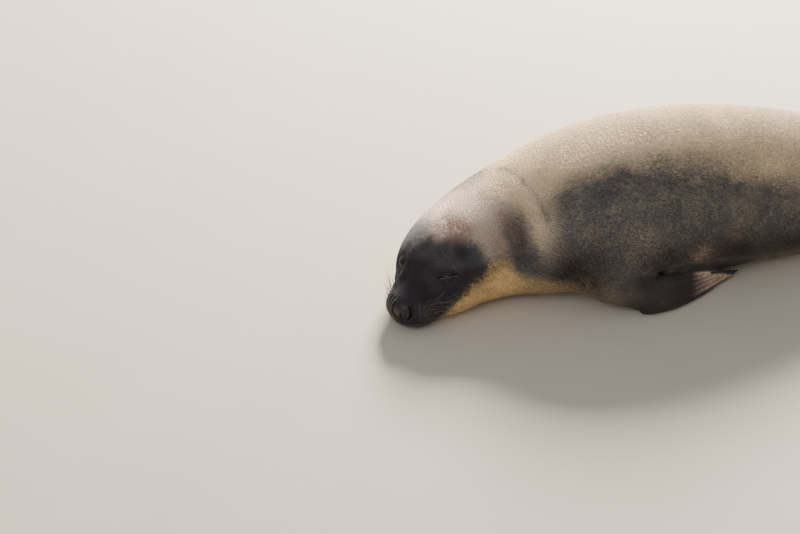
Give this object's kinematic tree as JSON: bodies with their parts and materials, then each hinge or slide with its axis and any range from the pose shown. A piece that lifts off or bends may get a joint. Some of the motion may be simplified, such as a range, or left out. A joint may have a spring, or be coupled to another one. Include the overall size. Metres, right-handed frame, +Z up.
{
  "type": "young northern elephant seal",
  "caption": "Life-size still model of a young elephant seal asleep on its belly, its head turned to its left and its fore flippers folded back.",
  "frame": {"origin": "on the floor, at the middle of the flat that the belly rests on", "axes": "+Y towards the tail along the trunk, +Z up, +X towards the animal's left side; the head is turned about 40 degrees towards +X"},
  "size_m": [0.6146, 2.0482, 0.407],
  "materials": {
    "face": "short dark hair with a dull sheen",
    "throat": "short golden hair, dull",
    "back": "short hair dusted with sand, dull",
    "flipper": "short hair over leathery skin, dull",
    "claw": "smooth dark horn",
    "eye": "wet and dark"
  },
  "bodies": {
    "root": {"muzzle": "face", "head": "face", "lower_jaw": "face", "neck": "throat", "shoulders": "back", "trunk": "back", "hips": "back", "tail": "back", "fore_flipper_left": "flipper", "fore_flipper_right": "flipper", "hind_flipper_left": "flipper", "hind_flipper_right": "flipper", "eye_left": "eye", "eye_right": "eye", "claw_left_1": "claw", "claw_left_2": "claw", "claw_left_3": "claw", "claw_left_4": "claw", "claw_left_5": "claw", "claw_right_1": "claw", "claw_right_2": "claw", "claw_right_3": "claw", "claw_right_4": "claw", "claw_right_5": "claw"}
  },
  "joints": []
}
